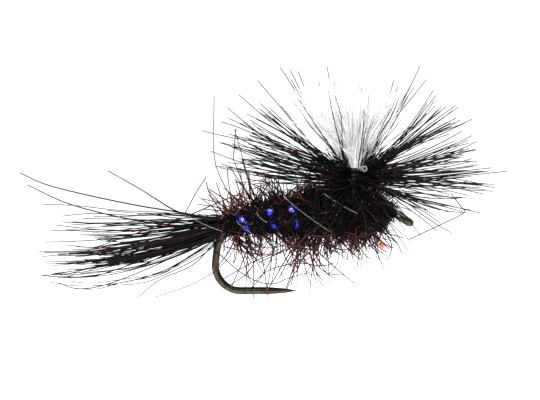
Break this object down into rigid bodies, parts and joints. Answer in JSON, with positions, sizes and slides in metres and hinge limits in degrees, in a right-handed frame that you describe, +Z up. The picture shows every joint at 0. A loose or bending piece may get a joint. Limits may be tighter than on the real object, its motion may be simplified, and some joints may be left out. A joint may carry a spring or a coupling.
{
  "type": "parachute dry fly",
  "caption": "Parachute dry fly for fly fishing: down-eyed barbless hook, hair tail, dubbed body ribbed with blue tinsel, upright white wing and flat black hackle.",
  "frame": {"origin": "centre of the bore of the hook's eye", "axes": "+X forwards along the hook's shank towards its eye, +Z up towards the wing, the hook lies in the XZ plane"},
  "size_m": [0.0294, 0.0168, 0.0146],
  "materials": {
    "bronzed_wire": "dark bronzed, satin",
    "black_thread": "waxed thread",
    "black_hair": "glossy stiff fibres",
    "blue_tinsel": "metallised holographic film",
    "black_dubbing": "loose spun fur",
    "claret_hair": "translucent guard hair",
    "white_yarn": "brushed-out yarn",
    "black_hackle": "glossy feather barbs",
    "horn_quill": "pale horn",
    "clear_varnish": "clear gloss over black",
    "pearl_film": "translucent pearl",
    "red_fibre": "matt"
  },
  "bodies": {
    "root": {"hook": "bronzed_wire", "thread_base": "black_thread", "tail_fibres": "black_hair", "tail_lashing": "black_thread", "rib_tinsel": "blue_tinsel", "rib_lashing": "black_thread", "abdomen_dubbing": "black_dubbing", "abdomen_guard_hairs": "claret_hair", "thorax_dubbing_rear": "black_dubbing", "thorax_dubbing_front": "black_dubbing", "thorax_guard_hairs": "claret_hair", "wing_yarn": "white_yarn", "wing_lashing": "black_thread", "post_collar": "black_thread", "hackle_turn_1": "black_hackle", "hackle_turn_2": "black_hackle", "hackle_turn_3": "black_hackle", "hackle_turn_4": "black_hackle", "hackle_stem_stub": "horn_quill", "hackle_tie_off": "black_thread", "head_wraps": "black_thread", "head_varnish": "clear_varnish", "pearl_strands": "pearl_film", "red_fleck_fibres": "red_fibre"}
  },
  "joints": []
}
